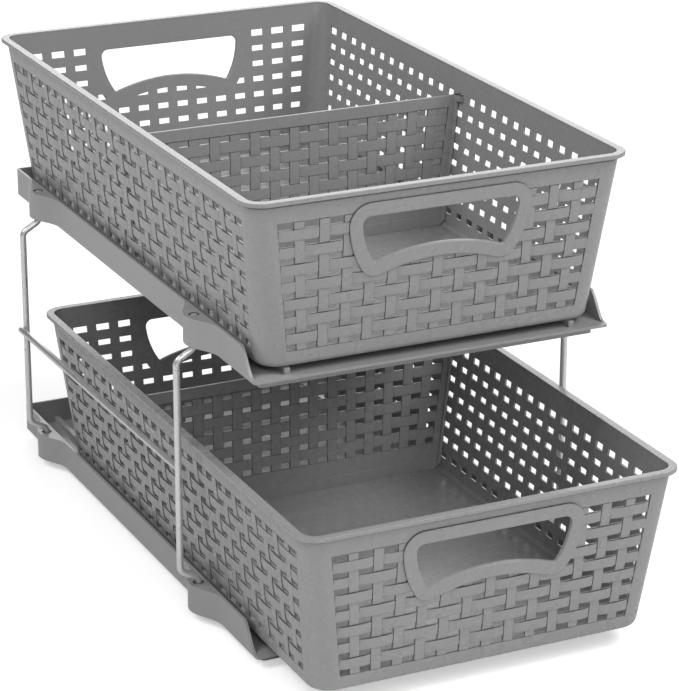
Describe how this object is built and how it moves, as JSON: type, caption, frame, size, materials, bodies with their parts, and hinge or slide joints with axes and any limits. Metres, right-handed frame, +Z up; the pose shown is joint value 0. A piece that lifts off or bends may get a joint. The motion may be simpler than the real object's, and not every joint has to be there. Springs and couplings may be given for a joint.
{
  "type": "pull out cabinet basket",
  "caption": "Two-tier cabinet organiser: trays stacked on bent wire posts, each holding a woven-wall plastic basket with a divider that slides out to the front.",
  "frame": {"origin": "on the surface the organiser stands on, below the middle of the trays", "axes": "+X to the right, +Y to the back, +Z up; the baskets pull out along -Y"},
  "size_m": [0.3232, 0.581, 0.3394],
  "materials": {
    "tray_plastic": "satin grey polypropylene",
    "basket_plastic": "satin grey polypropylene",
    "wire": "silver-grey lacquered steel wire"
  },
  "bodies": {
    "frame": {"lower_tray": "tray_plastic", "upper_tray": "tray_plastic", "left_front_post": "wire", "left_rear_post": "wire", "left_brace": "wire", "right_front_post": "wire", "right_rear_post": "wire", "right_brace": "wire"},
    "lower_basket": {"lower_basket": "basket_plastic", "lower_divider": "basket_plastic"},
    "upper_basket": {"upper_basket": "basket_plastic", "upper_divider": "basket_plastic"}
  },
  "joints": [
    {"name": "lower_basket_slide", "type": "slide", "parent": "frame", "child": "lower_basket", "axis": [0, -1, 0], "range_m": [-0.084, 0.146]},
    {"name": "upper_basket_slide", "type": "slide", "parent": "frame", "child": "upper_basket", "axis": [0, -1, 0], "range_m": [0, 0.23]}
  ]
}
